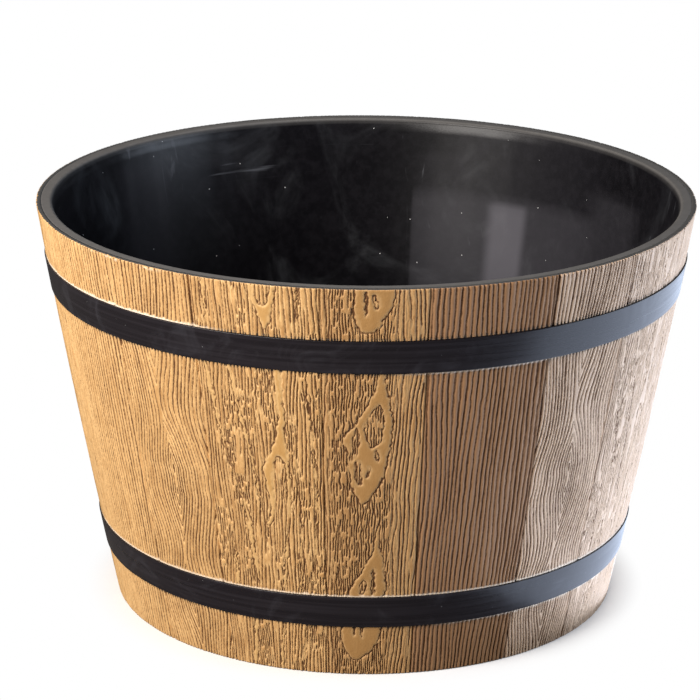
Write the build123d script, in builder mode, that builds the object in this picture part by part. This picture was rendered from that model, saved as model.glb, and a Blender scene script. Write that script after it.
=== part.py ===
# Half-barrel planter of moulded resin: a thick one-piece pot with staves moulded in its wall,
# two black hoops snapped into channels round it, and a rubber stopper in its drain hole.
# Millimetres, +Z up. The origin is on the ground, at the centre of the foot ring.
# The front of the pot faces -Y.

import os

from build123d import *

os.makedirs("parts", exist_ok=True)

# Overall form
rim_diameter = 508.0
base_diameter = 393.0
pot_height = 316.5
wall_bow = 1.6  # how far the wall swells past a straight line, half way up
wall_thickness = 13.0

# Rim and base edges
rim_inner_round = 3.0
rim_facets = 2  # straight facets that make up the round
rim_outer_bevel = 0.8
base_edge_bevel = 0.8

# Staves: wide and narrow ones take turns round the pot, with a V seam between them
stave_pairs = 9
wide_stave_angle = 22.3
front_seam_angle = 10.4  # the seam beside the middle of the front, towards +X
seam_half_width = 1.2
seam_depth = 2.3

# Floor, with a foot ring, a boss round the drain hole and radial ribs below it
floor_thickness = 11.0
floor_corner_round = 18.0
floor_corner_facets = 3
foot_height = 8.0
foot_width = 24.0
foot_draft = 2.0
boss_diameter = 60.0
rib_count = 9
rib_height = 5.0
rib_thickness = 6.0

# Hoops and the channels that hold them
upper_hoop_drop = 39.7  # from the rim to the hoop's channel
lower_hoop_rise = 41.9  # from the ground to the hoop's channel
hoop_width = 25.6
hoop_proud = 1.0
hoop_channel_depth = 1.4
hoop_gap = 0.25  # all round the hoop, inside its channel
hoop_edge_bevel = 0.5

# Drain hole and its stopper
drain_diameter = 25.0
dish_depth = 2.6
dish_clearance = 2.0  # round the stopper's head, in the dish that it sits in
stopper_gap = 0.3
head_diameter = 38.0
head_thickness = 3.4
head_bevel = 1.2
shank_inset = 1.5  # short of the boss's underside
shank_slimness = 1.4  # how much thinner than the drain hole the shank is, between its seal rings
shank_tip_chamfer = 1.6
seal_ring_count = 2
seal_ring_width = 1.8
grip_length = 24.0
grip_thickness = 5.0
grip_height = 8.0
grip_bevel = 1.2


def outer_radius(z):
    """Radius of the stave faces at height z: a straight taper with a slight swell."""
    rise = z / pot_height
    taper = base_diameter / 2 * (1 - rise) + rim_diameter / 2 * rise
    return taper + 4 * wall_bow * rise * (1 - rise)


def wall_points(heights, offset=0.0):
    """Points of the wall's curve at these heights, moved outwards by offset."""
    return [(outer_radius(z) + offset, z) for z in heights]


def band_outline(low_z, high_z, inner_offset, outer_offset):
    """Corners of a band that follows the wall, as offsets from the stave faces."""
    return [
        (outer_radius(low_z) + inner_offset, low_z),
        (outer_radius(low_z) + outer_offset, low_z),
        (outer_radius(high_z) + outer_offset, high_z),
        (outer_radius(high_z) + inner_offset, high_z),
    ]


def soft_corner(start, corner, end, facets):
    """Points along a soft round from start to end, drawn towards the corner between them."""
    start, corner, end = (Vector(*point) for point in (start, corner, end))
    shares = [step / facets for step in range(facets + 1)]
    return [start * (1 - t) ** 2 + corner * 2 * t * (1 - t) + end * t**2 for t in shares]


floor_top = foot_height + floor_thickness
foot_inner_radius = base_diameter / 2 - foot_width
dish_floor = floor_top - dish_depth
boss_bottom = foot_height - rib_height
hoop_bottoms = {
    "upper_hoop": pot_height - upper_hoop_drop - hoop_width,
    "lower_hoop": lower_hoop_rise,
}
high_hoop, low_hoop = (bottom + hoop_width / 2 for bottom in hoop_bottoms.values())

# The swell is drawn in straight stretches that meet behind the hoops and half way between them
stretch_heights = (0, low_hoop, (low_hoop + high_hoop) / 2, high_hoop, pot_height)

# One V seam, swept up the curve of the wall on the +X side
seam_overrun = 2.0  # past the stave faces and both ends of the wall
with BuildPart() as seam_cutter:
    with BuildLine(Plane.XZ):
        seam_heights = (-seam_overrun, pot_height / 2, pot_height + seam_overrun)
        seam_path = ThreePointArc(*wall_points(seam_heights))
    with BuildSketch(Plane(origin=seam_path @ 0, x_dir=(0, -1, 0), z_dir=seam_path % 0)):
        mouth = seam_half_width * (1 + seam_overrun / seam_depth)
        with BuildLine():
            Polyline((0, -seam_depth), (mouth, seam_overrun), (-mouth, seam_overrun), close=True)
        make_face()
    sweep(path=seam_path)

# The pot: wall, rim, floor and foot ring in one moulding
with BuildPart() as pot_body:
    with BuildSketch(Plane.XZ) as wall_profile:
        with BuildLine():
            outer = Polyline(*wall_points(stretch_heights))
            round_low = floor_top + floor_corner_round
            round_high = pot_height - rim_inner_round
            inner = Line(*wall_points((round_low, round_high), -wall_thickness))
            rim_corner = (outer_radius(pot_height) - wall_thickness, pot_height)
            rim_flat_start = (rim_corner[0] + rim_inner_round, pot_height)
            Polyline(*soft_corner(inner @ 1, rim_corner, rim_flat_start, rim_facets), outer @ 1)
            floor_corner = (outer_radius(floor_top) - wall_thickness, floor_top)
            floor_edge = (floor_corner[0] - floor_corner_round, floor_top)
            Polyline(
                *soft_corner(inner @ 0, floor_corner, floor_edge, floor_corner_facets),
                (0, floor_top),
                (0, foot_height),
                (foot_inner_radius - foot_draft, foot_height),
                (foot_inner_radius, 0),
                outer @ 0,
            )
        make_face()
        chamfer(wall_profile.vertices().group_by(Axis.Y)[-1].sort_by(Axis.X)[-1], rim_outer_bevel)
        chamfer(wall_profile.vertices().group_by(Axis.Y)[0].sort_by(Axis.X)[-1], base_edge_bevel)
    revolve(axis=Axis.Z)

    # Channels for the hoops
    with BuildSketch(Plane.XZ):
        for bottom in hoop_bottoms.values():
            with BuildLine():
                Polyline(
                    *band_outline(bottom, bottom + hoop_width, -hoop_channel_depth, seam_overrun),
                    close=True,
                )
            make_face()
    revolve(axis=Axis.Z, mode=Mode.SUBTRACT)

    # V seams: one set on each side of the wide staves
    for seam_angle in (front_seam_angle, front_seam_angle + wide_stave_angle):
        with PolarLocations(0, stave_pairs, start_angle=seam_angle - 90):
            add(seam_cutter.part, mode=Mode.SUBTRACT)

    # Ribs and boss under the floor
    with BuildSketch(Plane.XY.offset(boss_bottom)):
        Circle(boss_diameter / 2)
        rib_reach = foot_inner_radius - foot_draft / 2
        with PolarLocations(rib_reach / 2, rib_count, start_angle=90):
            Rectangle(rib_reach, rib_thickness)
    extrude(amount=rib_height + floor_thickness / 2)

    # Drain hole, in a dish for the stopper's head
    with Locations((0, 0, floor_top)):
        CounterBoreHole(drain_diameter / 2, head_diameter / 2 + dish_clearance, dish_depth)
pot_body.part.label = "pot_body"

# The hoops: flat bands that follow the taper
hoops = {}
for name, bottom in hoop_bottoms.items():
    with BuildPart() as hoop:
        with BuildSketch(Plane.XZ) as hoop_profile:
            with BuildLine():
                Polyline(
                    *band_outline(
                        bottom + hoop_gap,
                        bottom + hoop_width - hoop_gap,
                        hoop_gap - hoop_channel_depth,
                        hoop_proud,
                    ),
                    close=True,
                )
            make_face()
            chamfer(hoop_profile.vertices().sort_by(Axis.X)[-2:], hoop_edge_bevel)
        revolve(axis=Axis.Z)
    hoop.part.label = name
    hoops[name] = hoop

# The stopper: a round head with a grip across it, and a shank with seal rings
shank_bottom = boss_bottom + shank_inset
shank_length = dish_floor - shank_bottom
shank_radius = (drain_diameter - shank_slimness) / 2
ring_radius = drain_diameter / 2 - stopper_gap
seal_ring_depth = ring_radius - shank_radius
head_bottom = dish_floor + stopper_gap
head_top = head_bottom + head_thickness
with BuildPart() as drain_stopper:
    with BuildSketch(Plane.XY.offset(shank_bottom)):
        Circle(shank_radius)
    extrude(amount=head_bottom - shank_bottom)
    chamfer(drain_stopper.faces().sort_by(Axis.Z)[0].edges(), shank_tip_chamfer)
    for ring in range(seal_ring_count):
        ring_middle = shank_bottom + shank_length * (ring + 1.25) / (seal_ring_count + 0.75)
        with BuildSketch(Plane.XZ):
            with BuildLine():
                Polyline(
                    (shank_radius - seal_ring_depth, ring_middle - seal_ring_width),
                    (ring_radius, ring_middle),
                    (shank_radius - seal_ring_depth, ring_middle + seal_ring_width),
                    close=True,
                )
            make_face()
        revolve(axis=Axis.Z)
    with BuildSketch(Plane.XY.offset(head_bottom)):
        Circle(head_diameter / 2)
    extrude(amount=head_thickness)
    chamfer(drain_stopper.edges().group_by(Axis.Z)[-1], head_bevel)
    with BuildSketch(Plane.XY.offset(head_top - head_thickness / 2)):
        Rectangle(grip_length, grip_thickness)
    extrude(amount=grip_height + head_thickness / 2)
    grip_ends = drain_stopper.faces().filter_by(Axis.X)
    chamfer(grip_ends.edges().filter_by(Axis.Z), grip_bevel)
    chamfer(drain_stopper.edges().group_by(Axis.Z)[-1], grip_bevel)
drain_stopper.part.label = "drain_stopper"

export_step(pot_body.part, "parts/pot_body.step")
for name, hoop in hoops.items():
    export_step(hoop.part, f"parts/{name}.step")
export_step(drain_stopper.part, "parts/drain_stopper.step")
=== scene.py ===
import math

import bpy
import numpy as np
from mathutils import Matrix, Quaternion, Vector


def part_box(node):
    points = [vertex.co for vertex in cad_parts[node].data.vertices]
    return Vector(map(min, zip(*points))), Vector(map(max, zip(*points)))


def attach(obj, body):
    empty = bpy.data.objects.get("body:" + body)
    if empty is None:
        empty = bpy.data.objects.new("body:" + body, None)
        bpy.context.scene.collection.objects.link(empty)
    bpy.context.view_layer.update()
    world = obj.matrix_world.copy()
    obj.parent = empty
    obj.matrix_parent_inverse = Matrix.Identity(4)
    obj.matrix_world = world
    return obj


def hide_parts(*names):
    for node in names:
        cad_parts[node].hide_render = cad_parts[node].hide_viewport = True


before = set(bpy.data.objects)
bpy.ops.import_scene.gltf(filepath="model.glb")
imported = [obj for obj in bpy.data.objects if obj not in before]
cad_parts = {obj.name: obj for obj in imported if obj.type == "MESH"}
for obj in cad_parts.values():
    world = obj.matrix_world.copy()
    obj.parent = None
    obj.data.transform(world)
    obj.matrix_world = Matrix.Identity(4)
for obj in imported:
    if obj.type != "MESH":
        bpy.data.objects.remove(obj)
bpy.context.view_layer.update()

mm = 0.001

# Azimuths go round the pot in degrees: 0 faces the front, -Y, and 90 faces +X.
# The carving of the boards is drawn in millimetres, as a pattern sheet would be.


# The wall, read from the frame

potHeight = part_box("pot_body")[1].z
potPoints = np.array([vertex.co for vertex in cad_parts["pot_body"].data.vertices])
pointRadii = np.hypot(potPoints[:, 0], potPoints[:, 1])

wall = {
    "bevel": 0.8 * mm,            # on the outer edges of the rim and the base
    "thickness": 13 * mm,
    "skinThickness": 4 * mm,      # of the boards, which lie in front of the pot's core
    "landInset": 0.04 * mm,       # keeps the boards inside the solid
    "channelDepth": 1.4 * mm,     # for the hoops
    "innerRound": 3 * mm,
    "floorTop": 19 * mm,
    "floorRound": 18 * mm,
    "footHeight": 8 * mm,
    "footWidth": 24 * mm,
    "bossRadius": 30 * mm,
    "bossBottom": 3 * mm,
    "drainRadius": 12.5 * mm,
    "dishRadius": 21 * mm,
    "dishFloor": 16.4 * mm,
}
hoopGap = 0.25 * mm
hoopBoxes = {name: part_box(name) for name in ("upper_hoop", "lower_hoop")}
channels = [(low.z - hoopGap, high.z + hoopGap) for low, high in hoopBoxes.values()]


def widestAt(height):
    return pointRadii[np.abs(potPoints[:, 2] - height) < 0.3 * mm].max()


knownHeights = sorted([wall["bevel"], potHeight - wall["bevel"], *np.ravel(channels)])
wallCurve = np.polyfit(knownHeights, [widestAt(height) for height in knownHeights], 2)


def wallRadius(height):
    return np.polyval(wallCurve, height) - wall["landInset"]


print("frame: pot", round(potHeight, 4), "high, rim radius", round(wallRadius(potHeight), 4))


# Noise and curves for shapes

noiseTables = {}


def valueNoise(x, y, seed):  # smooth, from -1 to 1, changes over one unit of x or y
    if seed not in noiseTables:
        noiseTables[seed] = np.random.default_rng(seed).uniform(-1, 1, (256, 256))
    table = noiseTables[seed]
    column, row = np.floor(x).astype(int), np.floor(y).astype(int)
    u, v = ramp(x - column, 0, 1), ramp(y - row, 0, 1)
    left = table[column % 256, row % 256] * (1 - v) + table[column % 256, (row + 1) % 256] * v
    right = table[(column + 1) % 256, row % 256] * (1 - v)
    right = right + table[(column + 1) % 256, (row + 1) % 256] * v
    return left * (1 - u) + right * u


def ramp(value, start, end):
    share = np.clip((value - start) / (end - start), 0, 1)
    return share * share * (3 - 2 * share)


def through(position, places):  # a smooth curve through (position, value) places
    positions, values = (np.array(column, float) for column in zip(*places))
    step = np.clip(np.searchsorted(positions, position) - 1, 0, len(positions) - 2)
    share = ramp(position, positions[step], positions[step + 1])
    return values[step] * (1 - share) + values[step + 1] * share


def ringPoint(azimuth, radius, height):
    return np.stack([radius * np.sin(azimuth), -radius * np.cos(azimuth), height], axis=-1)


# Carved figures of the boards. across and height are grids in millimetres: across is 0 in the
# middle of a board and height is 0 at the ground. Each figure gives its grooves, from 0 on the
# land to 1 in the bottom of a groove, and its smooth pools, where the paint is even.

figures = {
    "straight": {"pitch": 3.5, "grooveWidth": 2.0, "depth": 1.1, "columns": 0.5, "rows": 1.2},
    "arch": {"pitch": 3.0, "eyePitch": 1.7, "grooveWidth": 1.65, "depth": 1.0, "columns": 0.5, "rows": 1.2,
             "pointed": 1.1,
             # The middle of the arches, and how wide they have opened, up the board
             "shift": ((0, 3), (60, -3), (110, 1), (146, 1.5), (172, 0), (210, -4), (250, -3), (317, 2)),
             "opening": ((0, 9), (40, 3), (84, 10), (146, -0.8), (205, 10), (262, 3), (317, 2))},
    "lane": {"pitch": 2.6, "pebblePitch": 1.8, "grooveWidth": 1.35, "depth": 1.05, "narrowing": 0.95,
             "columns": 0.47, "rows": 0.85},
    "pool": {"pitch": 3.1, "pebblePitch": 1.8, "grooveWidth": 1.5, "depth": 1.05, "narrowing": 0.2,
             "columns": 0.45, "rows": 0.85},
}


def band(*stops):  # outline of a tapering band through (across, height, half width)
    left = [(x - half, y) for x, y, half in stops]
    right = [(x + half, y) for x, y, half in stops]
    return left + right[::-1]


poolOutlines = [
    [(-12.5, 324), (-12, 306), (-12.8, 296), (-9.8, 286), (-5.5, 281.5), (0.8, 285), (6.5, 295),
     (11.5, 306), (13, 324)],
    [(3.5, 262), (3, 241), (-2.5, 230), (-8.5, 216.5), (-13.5, 207.5), (-19.5, 203), (-21.3, 197.5),
     (-18.2, 191), (-17.2, 176), (-15.5, 164), (-12, 153.5), (-7.5, 145), (-2.5, 149), (2.8, 158),
     (6.8, 166.5), (9.3, 180), (12, 191.5), (13.2, 206.5), (11.8, 221.5), (10.2, 234), (7.7, 241.5),
     (7.2, 262)],
    [(4.8, 133), (6.5, 110), (10, 91), (13, 64), (-20, 64), (-15, 77), (-11, 84), (-5, 94),
     (0.2, 104), (3, 118)],
    [(-25, 46), (-23.5, 29), (-19.8, 19), (-12.3, 12.2), (-4.7, 15.8), (2.8, 23.5), (7.2, 34),
     (9, 46)],
]
poolIslands = [
    [(-6.8, 316), (-5, 314), (-4.8, 297), (-6.2, 294)],
    [(-1.2, 314), (2, 311), (2.8, 303), (0.4, 301)],
    [(3.4, 228), (6.8, 222), (7.2, 199), (3.2, 195), (-2, 191), (-6.4, 205), (-3.4, 216)],
    [(-12.8, 206.5), (-9.8, 209.5), (-9.3, 196), (-13.2, 179), (-16.8, 183), (-15.2, 197)],
    [(2.6, 192), (4.8, 190), (4, 180), (1, 184)],
    [(-11.4, 181), (-8.2, 181), (-7.2, 163), (-10.4, 160), (-12.9, 169)],
    [(-3.4, 177), (-1.2, 173), (-2.8, 168), (-4.4, 171)],
    [(0.2, 92), (2.4, 90), (2.8, 69), (-0.4, 69)],
    [(-8.8, 79), (-3.7, 82), (-4.2, 69), (-9.8, 69)],
    [(-14, 46), (-12, 46), (-12, 35), (-13.8, 35)],
    [(-8, 46), (-6, 46), (-6, 32), (-7.8, 33)],
]
laneOutlines = [
    [(11.5, 262), (11.5, 240), (12.5, 215), (10, 196), (6, 186), (1, 178), (-1.5, 168), (0.5, 158),
     (2.5, 150), (3, 140), (1, 130), (-2, 126), (-0.5, 122), (3.5, 124), (7, 134), (7.5, 150),
     (8, 166), (8.5, 176), (11, 181), (14.5, 178), (16, 168), (16.5, 150), (15.5, 132), (17.5, 128),
     (20, 140), (20.5, 165), (19, 190), (17.8, 215), (17.5, 262)],
    [(-4, 324), (-1.5, 306), (1.5, 296), (3.5, 290), (5.5, 284), (8, 281.5), (11, 286), (12.5, 296),
     (15, 308), (18, 324), (14, 324), (10.5, 312), (9, 304), (6, 300), (3, 306), (0.5, 316),
     (-0.5, 324)],
    band((-3, 148, 0.6), (-8, 172, 1.6), (-10.5, 190, 2), (-16, 220, 1.8), (-20, 251, 2.2),
         (-22, 262, 2)),
    band((-3, 122, 0.8), (-5, 150, 1.8), (-9, 176, 0.6)),
    band((-11, 70, 1.6), (-13, 100, 2.6), (-14, 122, 2.2), (-19, 150, 1.2), (-28, 176, 1.2),
         (-31, 200, 1.6), (-36, 235, 2.2), (-38, 262, 2)),
    band((-30, 64, 2.2), (-29, 92, 1.6), (-31, 120, 0.5)),
    band((10, 70, 1.6), (13, 100, 1.9), (17, 128, 0.7)),
    band((30, 62, 0.8), (36, 100, 1.2), (39, 150, 1.3), (37, 200, 1.2), (33, 240, 0.5)),
    band((24, 62, 1.2), (24.5, 90, 1.4), (26, 120, 1.1), (25, 160, 0.4)),
    band((-22, -6, 2.4), (-20, 14, 2.6), (-16, 44, 2)),
    band((3, -6, 2.4), (4, 14, 2), (8, 46, 1.6)),
    band((22, -6, 1.2), (24, 16, 1.6), (27, 46, 1)),
    band((-34, 276, 1.4), (-33, 300, 1.8), (-35, 322, 1.4)),
    band((28, 272, 0.8), (29, 300, 1.2), (31, 322, 1)),
]


def linesAt(phase, across, height, width, seed, faint=0.2):  # a groove where phase is whole
    slopeUp, slopeAcross = np.gradient(phase, height[:, 0], across[0])
    slope = np.maximum(np.hypot(slopeUp, slopeAcross), 0.16)
    index = np.round(phase)
    away = np.abs(phase - index) / slope
    half = width / 2 * (1 + 0.25 * valueNoise(index * 1.7, height / 22, seed))
    half = half * (1 + 0.2 * valueNoise(across / 2, height / 4, seed + 1))
    strength = 1 - faint * (1 + valueNoise(index * 2.3, height / 30, seed + 2))
    return strength * (1 - ramp(away, half * 0.3, half * 1.3))


def wobble(across, height, amount, seed):  # small waviness that every groove has
    slow = 0.65 * valueNoise(across / 4, height / 11, seed)
    return amount * (slow + 0.35 * valueNoise(across / 2, height / 4, seed + 1))


def straightFigure(across, height, look, seed):
    warp = 0.5 * valueNoise(across / 15, height / 80, seed)
    warp = warp + 0.7 * valueNoise(across / 32 + 9, height / 150, seed + 1)
    lean = 0.35 * ramp(across, -6, 30) * ramp(120 - height, 0, 60)
    phase = across / look["pitch"] + warp + lean + wobble(across, height, 0.13, seed + 2)
    main = linesAt(phase, across, height, look["grooveWidth"], seed + 4)
    doubled = linesAt(phase * 2 + 0.5, across, height, 0.75, seed + 7, faint=0.3)
    where = ramp(valueNoise(across / 7, height / 40, seed + 10), 0.2, 0.6)
    return np.maximum(main, doubled * where * 0.55), np.zeros_like(across)


def archFigure(across, height, look, seed):
    shift = through(height, look["shift"])
    middle = shift * np.exp(-((across - shift) / 24) ** 2)
    opening, pointed = through(height, look["opening"]), look["pointed"]
    ring = (np.abs(across - middle) ** pointed + np.abs(opening) ** pointed) ** (1 / pointed)
    closer = 1 / look["eyePitch"] - 1 / look["pitch"]
    phase = ring / look["pitch"] + closer * 4.5 * (1 - np.exp(-ring / 4.5))
    phase = phase + 0.3 * valueNoise(across / 13, height / 55, seed)
    phase = phase + wobble(across, height, 0.13, seed + 1)
    return linesAt(phase, across, height, look["grooveWidth"], seed + 3), np.zeros_like(across)


def pebbles(across, height, pitch, seed):  # short broken grooves, packed close
    phase = across / pitch + 0.5 * valueNoise(across / 7, height / 20, seed)
    phase = phase + 0.3 * valueNoise(across / 2.4, height / 5, seed + 1)
    lines = linesAt(phase, across, height, pitch * 0.72, seed + 2, faint=0.08)
    return lines * ramp(valueNoise(np.round(phase) * 5.7, height / 5, seed + 5), -0.5, -0.25)


def brokenLines(across, height, look, seed):  # long grooves with gaps in them
    phase = across / look["pitch"] + through(height, ((0, 0.9), (317, -1.2)))
    phase = phase + 0.6 * valueNoise(across / 12, height / 55, seed)
    phase = phase + 0.3 * valueNoise(across / 5, height / 19, seed + 1)
    phase = phase + wobble(across, height, 0.18, seed + 2)
    lines = linesAt(phase, across, height, look["grooveWidth"], seed + 4)
    return lines * ramp(valueNoise(np.round(phase) * 4.3, height / 19, seed + 7), -0.8, -0.55)


def outlineDistance(across, height, outline):  # below 0 inside a closed, rounded outline
    points = np.array(outline, float)
    for rounding in range(2):
        following = np.roll(points, -1, axis=0)
        cut = np.empty((len(points) * 2, 2))
        cut[0::2] = points * 0.75 + following * 0.25
        cut[1::2] = points * 0.25 + following * 0.75
        points = cut
    (west, south), (east, north) = points.min(axis=0) - 6, points.max(axis=0) + 6
    near = (across > west) & (across < east) & (height > south) & (height < north)
    x, y = across[near], height[near]
    closest = np.full(x.shape, 99.0)
    inside = np.zeros(x.shape, bool)
    for (startX, startY), (endX, endY) in zip(points, np.roll(points, -1, axis=0)):
        run, rise = endX - startX, endY - startY
        share = np.clip(((x - startX) * run + (y - startY) * rise) / (run * run + rise * rise), 0, 1)
        gap = np.hypot(x - startX - share * run, y - startY - share * rise)
        closest = np.minimum(closest, gap)
        if rise:
            crossed = ((startY > y) != (endY > y)) & (x < run * (y - startY) / rise + startX)
            inside ^= crossed
    distance = np.full(across.shape, 99.0)
    distance[near] = np.where(inside, -closest, closest)
    return distance


def poolDistance(across, height, outlines, islands, seed):
    x = across + 0.8 * valueNoise(across / 4, height / 7, seed)
    x = x + 0.9 * valueNoise(across / 1.6, height / 2.2, seed + 1)
    y = height + 1.2 * valueNoise(across / 5, height / 8, seed + 2)
    distance = np.full(across.shape, 99.0)
    for outline in outlines:
        distance = np.minimum(distance, outlineDistance(x, y, outline))
    for outline in islands:
        distance = np.maximum(distance, -outlineDistance(x, y, outline))
    return distance


def pillow(distance, smooth):  # rounds a pool or a lane off towards its edge, and through the groove value gives that edge a painted highlight
    return 0.3 * np.exp(np.minimum(distance, 0) / 1.3) * smooth


def laneFigure(across, height, look, seed):
    long = brokenLines(across, height, look, seed)
    small = pebbles(across, height, look["pebblePitch"], seed + 20)
    share = ramp(valueNoise(across / 8, height / 30, seed + 30), 0.0, 0.3)
    distance = poolDistance(across, height, laneOutlines, [], seed + 40) + look["narrowing"]
    smooth = 1 - ramp(distance, 0.1, 0.8)
    edge = np.exp(-((distance - 0.55) / 0.5) ** 2)
    edge = edge * ramp(valueNoise(across / 4, height / 13, seed + 50), -0.8, 0.1)
    grooves = (long * (1 - share) + small * share) * (1 - smooth)
    return np.maximum(grooves, edge * 0.85) + pillow(distance, smooth), smooth


def poolFigure(across, height, look, seed):
    long = brokenLines(across, height, look, seed)
    small = pebbles(across, height, look["pebblePitch"], seed + 20)
    side = np.maximum(ramp(across, 10, 17), ramp(-across, 28, 32))
    distance = poolDistance(across, height, poolOutlines, poolIslands, seed + 40) + look["narrowing"]
    smooth = 1 - ramp(distance, 0.2, 0.9)
    edge = np.exp(-((distance - 0.6) / 0.5) ** 2)
    edge = edge * ramp(valueNoise(across / 2.5, height / 5, seed + 50), -1, -0.1)
    grooves = small * (1 - side) + np.maximum(long, small * 0.3) * side
    return np.maximum(grooves * (1 - smooth), edge * 0.9) + pillow(distance, smooth), smooth


# Shader helpers. Each gives back the socket that the next node takes.


def newMaterial(name):
    material = bpy.data.materials.new(name)
    material.use_nodes = True
    material.node_tree.nodes.clear()
    return material, material.node_tree


def put(tree, kind, inputs=None, **settings):
    node = tree.nodes.new(kind)
    for name, value in settings.items():
        setattr(node, name, value)
    for name, value in (inputs or {}).items():
        socket = node.inputs[name]
        if isinstance(value, bpy.types.NodeSocket):
            tree.links.new(value, socket)
        else:
            socket.default_value = value
    return node


def calculate(tree, operation, first, second=0.0, clamp=False):
    inputs = {0: first, 1: second}
    return put(tree, "ShaderNodeMath", inputs, operation=operation, use_clamp=clamp).outputs[0]


def plus(tree, first, second):
    return calculate(tree, "ADD", first, second)


def minus(tree, first, second):
    return calculate(tree, "SUBTRACT", first, second)


def times(tree, first, second, clamp=False):
    return calculate(tree, "MULTIPLY", first, second, clamp)


def remap(tree, value, low, high, toLow=0.0, toHigh=1.0):
    inputs = {"Value": value, "From Min": low, "From Max": high, "To Min": toLow, "To Max": toHigh}
    return put(tree, "ShaderNodeMapRange", inputs, interpolation_type="SMOOTHSTEP").outputs["Result"]


def blendColours(tree, factor, first, second):
    node = put(tree, "ShaderNodeMix", data_type="RGBA", blend_type="MIX")
    for index, value in ((0, factor), (6, first), (7, second)):
        if isinstance(value, bpy.types.NodeSocket):
            tree.links.new(value, node.inputs[index])
        else:
            node.inputs[index].default_value = value
    return node.outputs[2]


def positionNode(tree, stretch=(1, 1, 1)):
    position = put(tree, "ShaderNodeTexCoord").outputs["Object"]
    node = put(tree, "ShaderNodeVectorMath", {0: position, 1: stretch}, operation="MULTIPLY")
    return node.outputs[0]


def noiseNode(tree, position, scale, detail=2.0, roughness=0.5, distortion=0.0):
    inputs = {"Vector": position, "Scale": scale, "Detail": detail, "Roughness": roughness,
              "Distortion": distortion}
    return put(tree, "ShaderNodeTexNoise", inputs).outputs["Fac"]


def surfaceValue(tree, name):
    return put(tree, "ShaderNodeAttribute", attribute_name=name, attribute_type="GEOMETRY").outputs["Fac"]


def newGroup(name, inputs, outputs):
    group = bpy.data.node_groups.new(name, "ShaderNodeTree")
    for label, default in inputs.items():
        kind = "NodeSocketColor" if isinstance(default, tuple) else "NodeSocketFloat"
        socket = group.interface.new_socket(name=label, in_out="INPUT", socket_type=kind)
        socket.default_value = default
    for label, kind in outputs.items():
        group.interface.new_socket(name=label, in_out="OUTPUT", socket_type=kind)
    return group, put(group, "NodeGroupInput").outputs, put(group, "NodeGroupOutput").inputs


def useGroup(tree, group, values):
    return put(tree, "ShaderNodeGroup", values, node_tree=group).outputs


# Effects that several finishes share


def makeMouldGrain():  # the fine uneven skin of moulded resin
    group, given, result = newGroup(
        "mouldGrain",
        {"Grain Size": 900.0, "Strength": 0.3, "Waviness": 0.2},
        {"Height": "NodeSocketFloat", "Shade": "NodeSocketFloat"},
    )
    position = positionNode(group)
    fine = noiseNode(group, position, given["Grain Size"], detail=3.0, roughness=0.6)
    wave = noiseNode(group, position, 38.0, detail=1.0)
    fine = times(group, fine, given["Strength"])
    height = plus(group, fine, times(group, wave, given["Waviness"]))
    group.links.new(height, result["Height"])
    group.links.new(noiseNode(group, position, 140.0, detail=4.0, roughness=0.65), result["Shade"])
    return group


def makeSettledDust():  # haze and white specks that lie on black plastic
    group, given, result = newGroup(
        "settledDust",
        {"Haze Scale": 14.0, "Haze Start": 0.5, "Haze End": 0.8, "Speck Scale": 190.0, "Speck Size": 0.05},
        {"Haze": "NodeSocketFloat", "Specks": "NodeSocketFloat"},
    )
    position = positionNode(group)
    cloud = noiseNode(group, position, given["Haze Scale"], detail=5.0, roughness=0.62, distortion=1.4)
    inputs = {"Value": cloud, "From Min": given["Haze Start"], "From Max": given["Haze End"]}
    haze = put(group, "ShaderNodeMapRange", inputs, interpolation_type="SMOOTHSTEP").outputs["Result"]
    cells = put(group, "ShaderNodeTexVoronoi", {"Vector": position, "Scale": given["Speck Scale"]})
    near = calculate(group, "LESS_THAN", cells.outputs["Distance"], given["Speck Size"])
    rare = put(group, "ShaderNodeSeparateColor", {"Color": cells.outputs["Color"]}).outputs["Red"]
    rare = calculate(group, "GREATER_THAN", rare, 0.9)
    group.links.new(haze, result["Haze"])
    group.links.new(times(group, near, rare), result["Specks"])
    return group


def makeRubMarks():  # long faint scratches, level and slanting
    group, given, result = newGroup(
        "rubMarks",
        {"Scratch Scale": 55.0, "Amount": 0.5},
        {"Marks": "NodeSocketFloat"},
    )
    total = None
    for stretch, distortion in (((0.12, 0.12, 2.4), 0.4), ((1.6, 1.6, 0.14), 0.9)):
        strands = noiseNode(group, positionNode(group, stretch), given["Scratch Scale"], 3.0, 0.7, distortion)
        thin = remap(group, strands, 0.66, 0.74)
        total = thin if total is None else calculate(group, "MAXIMUM", total, thin)
    patches = remap(group, noiseNode(group, positionNode(group), 9.0), 0.45, 0.65)
    marks = times(group, times(group, total, patches), given["Amount"])
    group.links.new(marks, result["Marks"])
    return group


mouldGrain = makeMouldGrain()
settledDust = makeSettledDust()
rubMarks = makeRubMarks()


def finish(tree, bsdfInputs, bump, bumpDistance, bumpStrength=0.5):
    shader = put(tree, "ShaderNodeBsdfPrincipled", bsdfInputs)
    inputs = {"Height": bump, "Strength": bumpStrength, "Distance": bumpDistance}
    normal = put(tree, "ShaderNodeBump", inputs).outputs["Normal"]
    tree.links.new(normal, shader.inputs["Normal"])
    put(tree, "ShaderNodeOutputMaterial", {"Surface": shader.outputs["BSDF"]})


# Materials

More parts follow.
